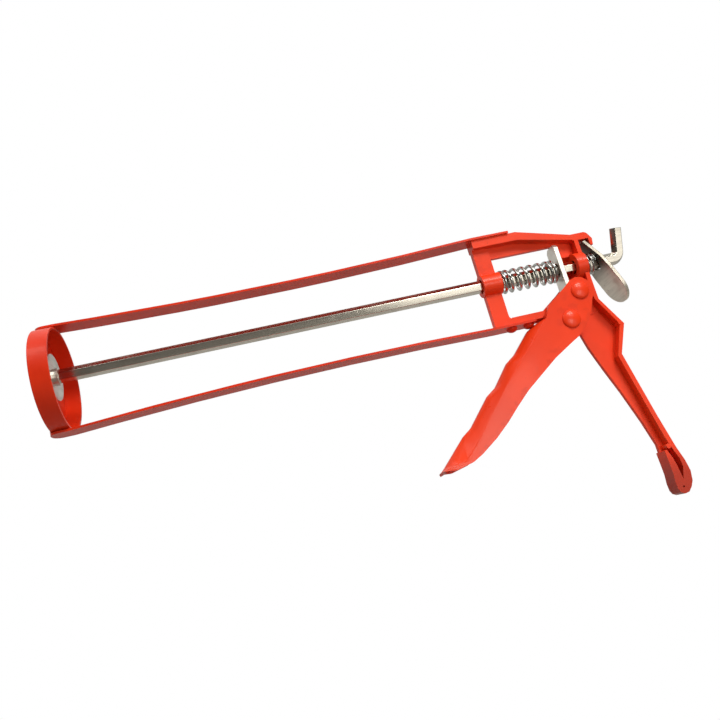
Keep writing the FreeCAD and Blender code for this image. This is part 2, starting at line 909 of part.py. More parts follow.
def build():
    """Every sub-part in the order in which the gun goes together."""
    parts = [
        build_front_band(),
        build_front_plate(),
        build_strap("top_strap", 1, "top_strap_end"),
        build_strap("bottom_strap", -1, "bottom_strap_end"),
        build_strap_rivet("top_rivet_front", "rivet_front", 1),
        build_strap_rivet("top_rivet_rear", "rivet_rear", 1),
        build_strap_rivet("bottom_rivet_front", "rivet_front", -1),
        build_strap_rivet("bottom_rivet_rear", "rivet_rear", -1),
        build_handle_casting(),
        build_push_rod(),
        build_push_plate(),
        build_collar(
            "push_plate_collar",
            size("push_front") + size("push_thick"),
            size("collar_length"),
            size("collar_radius"),
        ),
        build_collar(
            "push_plate_nut",
            size("rod_front") + 0.2,
            size("push_front") - size("rod_front") - 0.2,
            size("nut_radius"),
        ),
        build_trigger(),
        build_trigger_rivet("pivot_rivet", "pivot_x", "pivot_z", "pivot_shank"),
        build_trigger_rivet("drive_rivet", "drive_x", "drive_z", "drive_shank"),
        build_drive_sleeve(),
        build_drive_plate(),
        build_release_plate(),
        build_main_spring(),
        build_release_spring(),
    ]
    doc.recompute()
    check(parts)
    os.makedirs("parts", exist_ok=True)
    for part in parts:
        part.Shape.exportStep(f"parts/{part.Label}.step")


build()
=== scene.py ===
"""Looks for an open-frame caulking gun: red lacquered frame and trigger, zinc-plated rod, plates and springs.

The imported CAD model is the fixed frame. Each sub-assembly below is a class that models its pieces with
bmesh operators, dresses them in procedural finishes and hangs them on the frame's bodies. Lengths inside
the classes are in millimetres in the gun's own axes and are turned into metres when a piece is finished.
"""

import json
import logging
import math
from dataclasses import dataclass
from enum import Enum

import bmesh
import bpy
from mathutils import Matrix, Vector


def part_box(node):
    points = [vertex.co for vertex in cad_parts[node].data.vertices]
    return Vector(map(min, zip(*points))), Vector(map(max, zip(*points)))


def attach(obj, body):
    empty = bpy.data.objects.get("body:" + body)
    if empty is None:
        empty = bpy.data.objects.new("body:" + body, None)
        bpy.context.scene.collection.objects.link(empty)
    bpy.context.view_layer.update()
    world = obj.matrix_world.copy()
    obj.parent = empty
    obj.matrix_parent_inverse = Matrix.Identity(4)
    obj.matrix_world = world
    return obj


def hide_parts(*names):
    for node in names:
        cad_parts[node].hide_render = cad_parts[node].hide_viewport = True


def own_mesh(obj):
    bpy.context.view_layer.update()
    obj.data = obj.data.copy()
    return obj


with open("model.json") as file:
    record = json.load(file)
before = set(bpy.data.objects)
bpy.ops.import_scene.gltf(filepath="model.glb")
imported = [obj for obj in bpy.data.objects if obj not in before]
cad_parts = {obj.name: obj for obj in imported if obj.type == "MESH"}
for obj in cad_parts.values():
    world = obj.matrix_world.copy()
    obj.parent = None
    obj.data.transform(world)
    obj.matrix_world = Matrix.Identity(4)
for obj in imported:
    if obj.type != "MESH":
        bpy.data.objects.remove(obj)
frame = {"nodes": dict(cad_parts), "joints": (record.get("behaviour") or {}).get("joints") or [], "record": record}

log = logging.getLogger("caulking_gun")

MM = 0.001

# the springs' wire in millimetres, and their runs of (turns, share of the free length)
MAIN_WIRE = 1.7
MAIN_RUNS = ((0.9, 0.07), (5.4, 0.80), (1.0, 0.07), (0.6, 0.06))
RELEASE_WIRE = 1.2
RELEASE_RUNS = ((2.25, 1.0),)
RELEASE_KEPT = 0.62

Triple = tuple[float, float, float]
Pairs = tuple[tuple[float, float], ...]


class Body(str, Enum):
    """The rigid bodies of the gun, as the record names them."""

    FRAME = "frame"
    ROD = "rod"
    TRIGGER = "trigger"
    DRIVE = "drive"
    RELEASE = "release"


class Slot(str, Enum):
    """The record's material slots."""

    RED_PAINT = "red_paint"
    RED_CASTING = "red_casting"
    ZINC_PLATE = "zinc_plate"
    ROD_STEEL = "rod_steel"
    SPRING_STEEL = "spring_steel"


class Shading(Enum):
    """How sharp an edge has to be, in degrees, before its shading breaks."""

    SOFT = 50.0
    CRISP = 32.0


# --------------------------------------------------------------------------- node groups


class NodeKit:
    """Small helper that adds and joins shader nodes in one tree."""

    def __init__(self, tree: bpy.types.NodeTree) -> None:
        """Keeps the tree that nodes go into."""
        self.tree = tree

    def add(self, kind: str, **settings: object) -> bpy.types.Node:
        """Adds a node and sets its plain properties.

        Args:
            kind: The node's type name.
            settings: Property names and values.

        Returns:
            The new node.
        """
        node = self.tree.nodes.new(kind)
        for name, value in settings.items():
            setattr(node, name, value)
        return node

    def join(self, source: bpy.types.NodeSocket, target: bpy.types.NodeSocket) -> None:
        """Links an output to an input."""
        self.tree.links.new(source, target)

    def maths(
        self, operation: str, first: object, second: object, clamp: bool = False
    ) -> bpy.types.NodeSocket:
        """A Math node.

        Args:
            operation: The Math node's operation.
            first: A socket or a number.
            second: A socket or a number.
            clamp: Whether the result stays between 0 and 1.

        Returns:
            The node's output socket.
        """
        node = self.add("ShaderNodeMath", operation=operation, use_clamp=clamp)
        for socket, value in zip(node.inputs, (first, second)):
            if isinstance(value, bpy.types.NodeSocket):
                self.join(value, socket)
            else:
                socket.default_value = value
        return node.outputs[0]

    def ramp(self, value: bpy.types.NodeSocket, low: float, high: float) -> bpy.types.NodeSocket:
        """Maps low..high of a value to a smooth 0..1."""
        node = self.add("ShaderNodeMapRange", interpolation_type="SMOOTHSTEP")
        node.inputs["From Min"].default_value = low
        node.inputs["From Max"].default_value = high
        self.join(value, node.inputs["Value"])
        return node.outputs["Result"]

    def noise(self, vector: bpy.types.NodeSocket, scale: float, detail: float = 2.0) -> bpy.types.NodeSocket:
        """A noise texture's factor on the given coordinates."""
        node = self.add("ShaderNodeTexNoise")
        node.inputs["Scale"].default_value = scale
        node.inputs["Detail"].default_value = detail
        self.join(vector, node.inputs["Vector"])
        return node.outputs["Fac"]

    def mix(self, factor: bpy.types.NodeSocket, first: object, second: object) -> bpy.types.NodeSocket:
        """Blends two colours, each a socket or a linear RGB triple, by a factor."""
        node = self.add("ShaderNodeMix", data_type="RGBA")
        self.join(factor, node.inputs["Factor"])
        for socket, value in ((node.inputs[6], first), (node.inputs[7], second)):
            if isinstance(value, bpy.types.NodeSocket):
                self.join(value, socket)
            else:
                socket.default_value = (*value, 1.0)
        return node.outputs[2]

    def between_heights(self, place: bpy.types.NodeSocket, low: float, high: float) -> bpy.types.NodeSocket:
        """A mask that grows from 0 at one height of the coordinates to 1 at another."""
        parts = self.add("ShaderNodeSeparateXYZ")
        self.join(place, parts.inputs[0])
        return self.ramp(parts.outputs["Z"], low, high)

    def stretch(self, vector: bpy.types.NodeSocket, scale: Triple) -> bpy.types.NodeSocket:
        """Scales coordinates axis by axis."""
        node = self.add("ShaderNodeMapping")
        node.inputs["Scale"].default_value = scale
        self.join(vector, node.inputs["Vector"])
        return node.outputs["Vector"]

    def split_for_camera(self, lit: bpy.types.NodeSocket, seen: bpy.types.NodeSocket) -> bpy.types.NodeSocket:
        """One shader for the camera's own rays and another for every other ray.

        Args:
            lit: The shader that lights and is reflected.
            seen: The shader that the camera sees directly.

        Returns:
            The mixed shader.
        """
        paths = self.add("ShaderNodeLightPath")
        both = self.add("ShaderNodeMixShader")
        self.join(paths.outputs["Is Camera Ray"], both.inputs["Fac"])
        self.join(lit, both.inputs[1])
        self.join(seen, both.inputs[2])
        return both.outputs[0]


class EffectGroups:
    """The effects that several finishes share, each a shader node group built once."""

    def __init__(self) -> None:
        """Builds every group."""
        self.wear = self._wear()
        self.peel = self._peel()
        self.scratches = self._scratches()

    @staticmethod
    def _group(
        name: str, outputs: dict[str, str], inputs: dict[str, float]
    ) -> tuple[bpy.types.NodeTree, NodeKit]:
        """An empty group with named sockets and Object coordinates inside.

        Args:
            name: The group's name.
            outputs: Output names and socket types.
            inputs: Float input names and defaults.

        Returns:
            The group and a kit on it.
        """
        group = bpy.data.node_groups.new(name, "ShaderNodeTree")
        for label, value in inputs.items():
            socket = group.interface.new_socket(label, in_out="INPUT", socket_type="NodeSocketFloat")
            socket.default_value = value
        for label, kind in outputs.items():
            group.interface.new_socket(label, in_out="OUTPUT", socket_type=kind)
        return group, NodeKit(group)

    def _wear(self) -> bpy.types.NodeTree:
        """Worn high edges: convex places broken up by noise."""
        inputs = {"Amount": 0.5, "Patchiness": 180.0}
        group, kit = self._group("edge wear", {"Mask": "NodeSocketFloat"}, inputs)
        given = kit.add("NodeGroupInput")
        made = kit.add("NodeGroupOutput")
        place = kit.add("ShaderNodeTexCoord").outputs["Object"]
        convex = kit.ramp(kit.add("ShaderNodeNewGeometry").outputs["Pointiness"], 0.56, 0.70)
        patches = kit.add("ShaderNodeTexNoise")
        patches.inputs["Detail"].default_value = 5.0
        kit.join(place, patches.inputs["Vector"])
        kit.join(given.outputs["Patchiness"], patches.inputs["Scale"])
        broken = kit.ramp(patches.outputs["Fac"], 0.50, 0.66)
        edges = kit.maths("MULTIPLY", convex, broken)
        worn = kit.maths("MULTIPLY", edges, given.outputs["Amount"], clamp=True)
        kit.join(worn, made.inputs["Mask"])
        return group

    def _peel(self) -> bpy.types.NodeTree:
        """The slight orange peel of sprayed lacquer and of a cast skin, as a height."""
        inputs = {"Fine": 900.0, "Broad": 120.0}
        group, kit = self._group("orange peel", {"Height": "NodeSocketFloat"}, inputs)
        given = kit.add("NodeGroupInput")
        made = kit.add("NodeGroupOutput")
        place = kit.add("ShaderNodeTexCoord").outputs["Object"]
        heights = []
        for label in ("Fine", "Broad"):
            bumps = kit.add("ShaderNodeTexNoise")
            bumps.inputs["Detail"].default_value = 1.0
            kit.join(place, bumps.inputs["Vector"])
            kit.join(given.outputs[label], bumps.inputs["Scale"])
            heights.append(bumps.outputs["Fac"])
        total = kit.maths("ADD", kit.maths("MULTIPLY", heights[0], 0.25), heights[1])
        kit.join(total, made.inputs["Height"])
        return group

    def _scratches(self) -> bpy.types.NodeTree:
        """Short rubbed marks that run across the gun at two slants."""
        group, kit = self._group("scuffs", {"Mask": "NodeSocketFloat"}, {"Density": 0.5})
        given = kit.add("NodeGroupInput")
        made = kit.add("NodeGroupOutput")
        place = kit.add("ShaderNodeTexCoord").outputs["Object"]
        masks = []
        for turn, scale in ((0.7, (260.0, 300.0, 4200.0)), (2.3, (320.0, 300.0, 5200.0))):
            mapping = kit.add("ShaderNodeMapping")
            mapping.inputs["Rotation"].default_value = (0.0, turn, 0.0)
            mapping.inputs["Scale"].default_value = scale
            kit.join(place, mapping.inputs["Vector"])
            masks.append(kit.ramp(kit.noise(mapping.outputs["Vector"], 1.0, 1.0), 0.72, 0.78))
        zones = kit.ramp(kit.noise(place, 55.0, 2.0), 0.50, 0.62)
        both = kit.maths("MAXIMUM", masks[0], masks[1])
        gathered = kit.maths("MULTIPLY", both, zones)
        kit.join(kit.maths("MULTIPLY", gathered, given.outputs["Density"], clamp=True), made.inputs["Mask"])
        return group


# --------------------------------------------------------------------------- finishes


@dataclass(frozen=True)
class Lacquer:
    """Sprayed gloss lacquer over steel or a die-casting.

    Attributes:
        name: The material's name.
        colour: Linear RGB of the lacquer.
        deep: Linear RGB where the coat is thicker.
        worn: Linear RGB of dulled high edges.
        roughness: Base roughness.
        coat: Weight of the clear top coat.
        peel: Strength of the orange peel.
        wear: How much the edges are dulled.
        grip_shade_heights: Heights between which the lacquer is painted darker as shade towards the grip's end,
            unshaded first, or none.
    """

    name: str
    colour: Triple = (0.86, 0.050, 0.010)
    deep: Triple = (0.78, 0.042, 0.008)
    worn: Triple = (0.55, 0.030, 0.010)
    roughness: float = 0.32
    coat: float = 0.10
    peel: float = 0.05
    wear: float = 0.3
    grip_shade_heights: tuple[float, float] | None = None

    def build(self, effects: EffectGroups) -> bpy.types.Material:
        """Makes the material.

        Args:
            effects: The shared node groups.

        Returns:
            The finished material.
        """
        material = bpy.data.materials.new(self.name)
        material.use_nodes = True
        kit = NodeKit(material.node_tree)
        shader = material.node_tree.nodes["Principled BSDF"]
        place = kit.add("ShaderNodeTexCoord").outputs["Object"]
        wear = kit.add("ShaderNodeGroup", node_tree=effects.wear)
        wear.inputs["Amount"].default_value = self.wear
        wear.inputs["Patchiness"].default_value = 210.0
        scuffs = kit.add("ShaderNodeGroup", node_tree=effects.scratches)
        scuffs.inputs["Density"].default_value = 0.4
        peel = kit.add("ShaderNodeGroup", node_tree=effects.peel)
        peel.inputs["Fine"].default_value = 1100.0
        peel.inputs["Broad"].default_value = 170.0

        clouds = kit.ramp(kit.noise(place, 38.0, 3.0), 0.35, 0.70)
        base = kit.mix(clouds, self.colour, self.deep)
        worn = kit.mix(wear.outputs["Mask"], base, self.worn)
        specks = kit.ramp(kit.noise(place, 900.0, 2.0), 0.75, 0.80)
        specks_and_shade = kit.mix(specks, worn, (0.30, 0.020, 0.008))
        # Painted shade: below the given heights, at the grip's end, the lacquer turns a darker red; the height
        # mask is 1 where it stays unshaded.
        if self.grip_shade_heights:
            clean = kit.between_heights(place, self.grip_shade_heights[1], self.grip_shade_heights[0])
            painted_grip_shade = kit.mix(clouds, (0.40, 0.026, 0.008), (0.46, 0.028, 0.008))
            specks_and_shade = kit.mix(clean, painted_grip_shade, specks_and_shade)
        kit.join(specks_and_shade, shader.inputs["Base Color"])

        uneven = kit.maths("MULTIPLY", kit.noise(place, 90.0, 4.0), 0.12)
        rough = kit.maths("ADD", uneven, self.roughness - 0.06)
        scuffed = kit.maths("ADD", rough, kit.maths("MULTIPLY", scuffs.outputs["Mask"], 0.25), clamp=True)
        kit.join(scuffed, shader.inputs["Roughness"])
        shader.inputs["Coat Weight"].default_value = self.coat
        shader.inputs["Coat Roughness"].default_value = 0.08
        shader.inputs["Specular IOR Level"].default_value = 0.20

        cut = kit.maths("MULTIPLY", scuffs.outputs["Mask"], 0.5)
        height = kit.maths("SUBTRACT", peel.outputs["Height"], cut)
        bump = kit.add("ShaderNodeBump")
        bump.inputs["Strength"].default_value = self.peel
        bump.inputs["Distance"].default_value = 0.0006
        kit.join(height, bump.inputs["Height"])
        kit.join(bump.outputs["Normal"], shader.inputs["Normal"])
        return material


@dataclass(frozen=True)
class PlatedSteel:
    """Zinc-plated or drawn steel, with streaks along the way it was drawn or ground.

    Attributes:
        name: The material's name.
        light: Linear RGB of clean metal.
        dark: Linear RGB of dulled or oily metal.
        grain: Scale of the streaks along X, Y and Z, in cycles per metre.
        roughness: Base roughness.
        stain: How much dull staining there is.
        relief: Strength of the streaks' bump.
        upper_shade_heights: Heights between which the metal is painted darker towards the top as shade, or none.
    """

    name: str
    light: Triple = (0.72, 0.70, 0.66)
    dark: Triple = (0.30, 0.28, 0.25)
    grain: Triple = (25.0, 1400.0, 1400.0)
    roughness: float = 0.24
    stain: float = 0.5
    relief: float = 0.08
    upper_shade_heights: tuple[float, float] | None = None

    def build(self, effects: EffectGroups) -> bpy.types.Material:
        """Makes the material.

        Args:
            effects: The shared node groups.

        Returns:
            The finished material.
        """
        material = bpy.data.materials.new(self.name)
        material.use_nodes = True
        kit = NodeKit(material.node_tree)
        shader = material.node_tree.nodes["Principled BSDF"]
        shader.inputs["Metallic"].default_value = 1.0
        place = kit.add("ShaderNodeTexCoord").outputs["Object"]
        wear = kit.add("ShaderNodeGroup", node_tree=effects.wear)
        wear.inputs["Amount"].default_value = 0.8
        scuffs = kit.add("ShaderNodeGroup", node_tree=effects.scratches)
        scuffs.inputs["Density"].default_value = 0.8

        streaks = kit.noise(kit.stretch(place, self.grain), 1.0, 4.0)
        patches = kit.ramp(kit.noise(place, 75.0, 5.0), 0.48, 0.72)
        spots = kit.ramp(kit.noise(place, 700.0, 2.0), 0.66, 0.74)
        dull = kit.maths("MULTIPLY", kit.maths("MAXIMUM", patches, spots), self.stain, clamp=True)
        tinted = kit.mix(kit.ramp(streaks, 0.30, 0.75), self.light, tuple(0.82 * c for c in self.light))
        stained = kit.mix(dull, tinted, self.dark)
        wear_and_shade = kit.mix(wear.outputs["Mask"], stained, (0.85, 0.84, 0.81))
        # Painted shade: between the given heights the metal turns to a dark colour towards the top.
        if self.upper_shade_heights:
            upper_shade = kit.between_heights(place, *self.upper_shade_heights)
            wear_and_shade = kit.mix(upper_shade, wear_and_shade, (0.16, 0.15, 0.13))
        kit.join(wear_and_shade, shader.inputs["Base Color"])

        rough = kit.maths("ADD", kit.maths("MULTIPLY", streaks, 0.14), self.roughness - 0.07)
        duller = kit.maths("ADD", rough, kit.maths("MULTIPLY", dull, 0.16))
        scuffed = kit.maths("ADD", duller, kit.maths("MULTIPLY", scuffs.outputs["Mask"], 0.2), clamp=True)
        kit.join(scuffed, shader.inputs["Roughness"])

        bump = kit.add("ShaderNodeBump")
        bump.inputs["Strength"].default_value = self.relief
        bump.inputs["Distance"].default_value = 0.0003
        kit.join(kit.maths("SUBTRACT", streaks, scuffs.outputs["Mask"]), bump.inputs["Height"])
        kit.join(bump.outputs["Normal"], shader.inputs["Normal"])
        return material


class Finishes:
    """Every finish of the gun, made once."""

    def __init__(self) -> None:
        """Builds the shared effects and the materials."""
        effects = EffectGroups()
        self.frame_lacquer = Lacquer(
            "frame lacquer", colour=(0.74, 0.036, 0.008), deep=(0.64, 0.028, 0.006)
        ).build(effects)
        # The casting's lacquer is painted darker as shade at the grip's lower end, below these heights.
        self.cast_lacquer = Lacquer(
            "cast lacquer", peel=0.09, roughness=0.36, grip_shade_heights=(-0.106, -0.124)
        ).build(effects)
        self.trigger_lacquer = Lacquer(
            "trigger lacquer", peel=0.045, roughness=0.30, coat=0.08
        ).build(effects)
        self.rod_steel = PlatedSteel(
            "drawn rod steel", light=(0.66, 0.64, 0.58), dark=(0.34, 0.32, 0.28), roughness=0.15,
            stain=0.4, relief=0.02,
        ).build(effects)
        self.zinc = PlatedSteel(
            "zinc plate", grain=(600.0, 60.0, 600.0), roughness=0.30, stain=0.35, light=(0.74, 0.72, 0.68)
        ).build(effects)
        self.bright_zinc = PlatedSteel(
            "bright zinc plate", grain=(500.0, 60.0, 200.0), roughness=0.42, stain=0.10,
            light=(0.88, 0.86, 0.80),
        ).build(effects)
        # The thumb plate is painted darker towards its top as shade, between these heights.
        self.thumb_steel = PlatedSteel(
            "rolled thumb plate", grain=(220.0, 60.0, 900.0), roughness=0.38, stain=0.6,
            light=(0.84, 0.79, 0.70), dark=(0.40, 0.36, 0.30), upper_shade_heights=(-0.013, 0.004),
        ).build(effects)
        self.spring_steel = PlatedSteel(
            "spring wire", grain=(1500.0, 90.0, 90.0), roughness=0.15, stain=0.5, light=(0.56, 0.58, 0.57),
            dark=(0.10, 0.11, 0.11), relief=0.02,
        ).build(effects)


# --------------------------------------------------------------------------- modelling bench


def centre_of(node: str) -> Vector:
    """The middle of a CAD node's box, in millimetres."""
    low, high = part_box(node)
    return (Vector(low) + Vector(high)) / (2 * MM)


def limits_of(node: str) -> tuple[Vector, Vector]:
    """A CAD node's lowest and highest corners, in millimetres."""
    low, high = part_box(node)
    return Vector(low) / MM, Vector(high) / MM


def crease_angle(edge: bmesh.types.BMEdge) -> float:
    """The angle between an edge's two faces, or 0 on a border."""
    return edge.calc_face_angle(0.0)


def round_edges(
    mesh: bmesh.types.BMesh,
    width: float,
    segments: int = 2,
    sharper: float = 40.0,
    chosen: list[bmesh.types.BMEdge] | None = None,
) -> None:
    """Bevels the sharp edges of a mesh.

    Args:
        mesh: The mesh to change.
        width: The bevel's offset in millimetres.
        segments: Faces across each bevel.
        sharper: Only edges that turn by more than this many degrees.
        chosen: The edges to look at; all of them if left out.
    """
    edges = [e for e in (chosen or mesh.edges) if crease_angle(e) > math.radians(sharper)]
    bmesh.ops.bevel(
        mesh, geom=edges, offset=width, segments=segments, profile=0.5, affect="EDGES", material=-1,
        clamp_overlap=True,
    )


def turned(
    profile: list[tuple[float, float]], centre: Vector, axis: Vector, steps: int = 96, closed: bool = False
) -> bmesh.types.BMesh:
    """A solid of revolution.

    Args:
        profile: Pairs of (distance along the axis, radius).
        centre: A point on the axis, from which distances along it count.
        axis: The axis's direction.
        steps: Faces round the axis.
        closed: Whether the profile's last point joins its first, as in a ring.

    Returns:
        The turned mesh.
    """
    mesh = bmesh.new()
    axis = axis.normalized()
    out = axis.orthogonal().normalized()
    points = [mesh.verts.new(centre + axis * along + out * radius) for along, radius in profile]
    pairs = list(zip(points, points[1:])) + ([(points[-1], points[0])] if closed else [])
    edges = [mesh.edges.new(pair) for pair in pairs]
    bmesh.ops.spin(
        mesh, geom=points + edges, cent=centre, axis=axis, angle=2 * math.pi, steps=steps, use_merge=True,
        use_duplicate=False,
    )
    bmesh.ops.remove_doubles(mesh, verts=mesh.verts, dist=1e-4)
    bmesh.ops.recalc_face_normals(mesh, faces=mesh.faces)
    return mesh


def copy_of_node(node: str) -> bmesh.types.BMesh:
    """A CAD node's shape in millimetres, merged, with its flat faces whole again."""
    mesh = bmesh.new()
    mesh.from_mesh(frame["nodes"][node].data)
    bmesh.ops.scale(mesh, vec=(1 / MM,) * 3, verts=mesh.verts)
    bmesh.ops.remove_doubles(mesh, verts=mesh.verts, dist=2e-3)
    bmesh.ops.dissolve_degenerate(mesh, edges=mesh.edges, dist=1e-3)
    bmesh.ops.dissolve_limit(mesh, angle_limit=math.radians(0.6), verts=mesh.verts, edges=mesh.edges)
    bmesh.ops.recalc_face_normals(mesh, faces=mesh.faces)
    return mesh


@dataclass
class Piece:
    """A finished mesh on its way into the scene.

    Attributes:
        name: The piece's name.
        mesh: Its shape in millimetres.
        body: The body that it rides on.
        slot: The record's material slot.
        material: Its finish.
        nodes: The CAD nodes that it stands for.
        shading: How sharp an edge breaks its shading.
    """

    name: str
    mesh: bmesh.types.BMesh
    body: Body
    slot: Slot
    material: bpy.types.Material
    nodes: tuple[str, ...]
    shading: Shading = Shading.CRISP

    def place(self) -> bpy.types.Object:
        """Writes the mesh to an object at the origin and hangs it on its body.

        Returns:
            The object.
        """
        bmesh.ops.scale(self.mesh, vec=(MM,) * 3, verts=self.mesh.verts)
        limit = math.radians(self.shading.value)
        for face in self.mesh.faces:
            face.smooth = True
        for edge in self.mesh.edges:
            edge.smooth = crease_angle(edge) < limit
        data = bpy.data.meshes.new(self.name)
        self.mesh.to_mesh(data)
        self.mesh.free()
        data.materials.append(self.material)
        piece = bpy.data.objects.new(self.name, data)
        bpy.context.scene.collection.objects.link(piece)
        weighted = piece.modifiers.new("even shading", "WEIGHTED_NORMAL")
        weighted.keep_sharp = True
        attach(piece, self.body.value)
        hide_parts(*self.nodes)
        log.info("%s stands for %s, %d faces", self.name, ", ".join(self.nodes), len(data.polygons))
        return piece


# --------------------------------------------------------------------------- sub-assemblies


@dataclass
class CartridgeFrame:
    """The front ring and the two straps, rolled, welded and sprayed.

    Attributes:
        finishes: The gun's finishes.
        edge: The width of the dulled edges.
        ring_steps: Faces round the ring.
        dome: How high the rivets' heads stand.
        dome_curve: A head's outline, as shares of its height and radius.
    """

    finishes: Finishes
    edge: float = 0.28
    ring_steps: int = 160
    dome: float = 2.2
    dome_curve: Pairs = ((0.0, 0.985), (0.2, 1.0), (0.5, 0.88), (0.78, 0.60), (0.95, 0.28), (1.0, 0.0))

    def build(self) -> list[bpy.types.Object]:
        """Makes the ring, the straps and their rivets."""
        made = [self._band(), self._plate()]
        made += [self._strap("top_strap"), self._strap("bottom_strap")]
        for node in ("top_rivet_front", "top_rivet_rear"):
            made.append(self._rivet(node, up=1.0))
        for node in ("bottom_rivet_front", "bottom_rivet_rear"):
            made.append(self._rivet(node, up=-1.0))
        return made

    def _ring(self, node: str, inner: float, edge: float) -> bpy.types.Object:
        """A flat-sided ring about X, as wide and deep as its node, with softened edges."""
        low, high = limits_of(node)
        outer = (high.z - low.z) / 2
        profile = [(0.0, inner), (high.x - low.x, inner), (high.x - low.x, outer), (0.0, outer)]
        start = Vector((low.x, 0.0, (low.z + high.z) / 2))
        mesh = turned(profile, start, Vector((1, 0, 0)), self.ring_steps, closed=True)
        round_edges(mesh, edge, 3)
        return Piece(
            node + "_rolled", mesh, Body.FRAME, Slot.RED_PAINT, self.finishes.frame_lacquer, (node,)
        ).place()

    def _band(self) -> bpy.types.Object:
        """The rolled band."""
        plate_low, plate_high = limits_of("front_plate")
        return self._ring("front_band", (plate_high.z - plate_low.z) / 2, self.edge)

    def _plate(self) -> bpy.types.Object:
        """The plate with the nozzle hole."""
        hole = frame["record"]["mounts"][0]["dims"]["r_mm"]
        return self._ring("front_plate", hole, 0.35)

    def _strap(self, node: str) -> bpy.types.Object:
        """A strap with its sheared edges dulled under the lacquer."""
        mesh = copy_of_node(node)
        round_edges(mesh, self.edge, 2, sharper=50.0)
        return Piece(
            node + "_sprayed", mesh, Body.FRAME, Slot.RED_PAINT, self.finishes.frame_lacquer, (node,)
        ).place()

    def _rivet(self, node: str, up: float) -> bpy.types.Object:
        """A small domed rivet, hammered and sprayed over."""
        low, high = limits_of(node)
        centre = Vector(((low.x + high.x) / 2, (low.y + high.y) / 2, low.z if up > 0 else high.z))
        length = high.z - low.z
        radius = (high.x - low.x) / 2
        rim = length - self.dome
        shank = radius * 0.61
        profile = [(0.0, 0.0), (0.0, shank), (rim, shank)]
        profile += [(rim + self.dome * height, radius * share) for height, share in self.dome_curve]
        mesh = turned(profile, centre, Vector((0, 0, up)), 40)
        return Piece(
            node + "_domed", mesh, Body.FRAME, Slot.RED_PAINT, self.finishes.frame_lacquer, (node,),
            Shading.SOFT,
        ).place()


@dataclass
class Handle:
    """The die-cast handle with its softened edges and inside corners.

    Attributes:
        finishes: The gun's finishes.
        edge: The width of the softened edges.
    """

    finishes: Finishes
    edge: float = 0.3

    def build(self) -> list[bpy.types.Object]:
        """Makes the casting."""
        mesh = copy_of_node("handle_casting")
        round_edges(mesh, self.edge, 3, sharper=30.0)
        return [
            Piece(
                "handle_die_cast", mesh, Body.FRAME, Slot.RED_CASTING, self.finishes.cast_lacquer,
                ("handle_casting",), Shading.SOFT,
            ).place()
        ]


